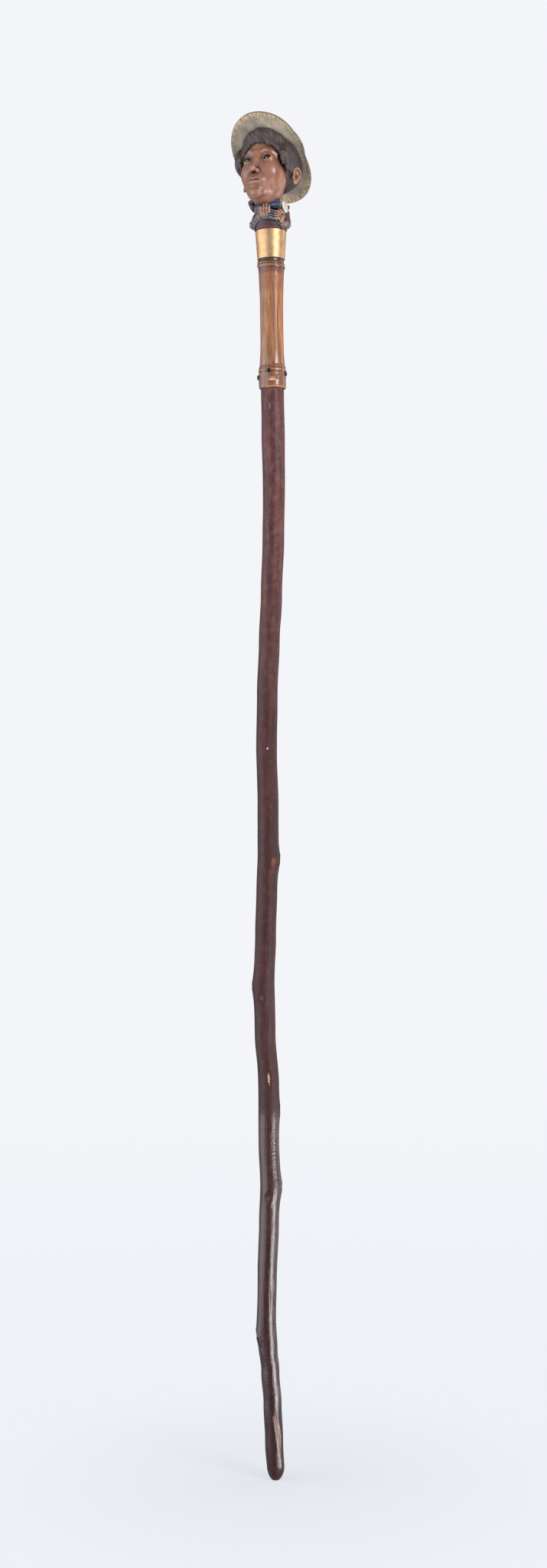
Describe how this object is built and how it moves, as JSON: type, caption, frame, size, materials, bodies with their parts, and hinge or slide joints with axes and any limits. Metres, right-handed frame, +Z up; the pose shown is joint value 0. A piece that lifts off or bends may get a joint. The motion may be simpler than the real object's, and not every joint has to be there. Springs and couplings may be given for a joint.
{
  "type": "walking stick",
  "caption": "Crooked stained-wood walking stick with a bamboo grip, grooved brass collar and a carved bust in a brimmed hat as its knob.",
  "frame": {"origin": "on the small worn flat at the stick's tip, where it meets the ground", "axes": "+Z up the stick from the tip to the head, +X to the right seen from the front, -Y towards the viewer and roughly the way the carved figure looks"},
  "size_m": [0.053, 0.053, 0.8929],
  "materials": {
    "stained_wood": "dark red-brown stain under gloss shellac",
    "bamboo": "varnished bamboo culm",
    "plain_wood": "bare turned wood",
    "steel_rod": "drawn steel",
    "brass": "turned and polished, with fine grooves",
    "iron_nail": "dark forged iron",
    "carved_wood": "carved, polished and painted wood",
    "dark_glass": "dark polished glass",
    "straw_paint": "carved wood painted as straw"
  },
  "bodies": {
    "root": {"shaft": "stained_wood", "bamboo_grip": "bamboo", "grip_plug": "plain_wood", "joining_rod": "steel_rod", "brass_collar": "brass", "nail_left": "iron_nail", "nail_front": "iron_nail", "nail_right": "iron_nail", "nail_back": "iron_nail", "carved_head": "carved_wood", "eye_left": "dark_glass", "eye_right": "dark_glass", "hat": "straw_paint", "hat_dowel": "plain_wood"}
  },
  "joints": []
}
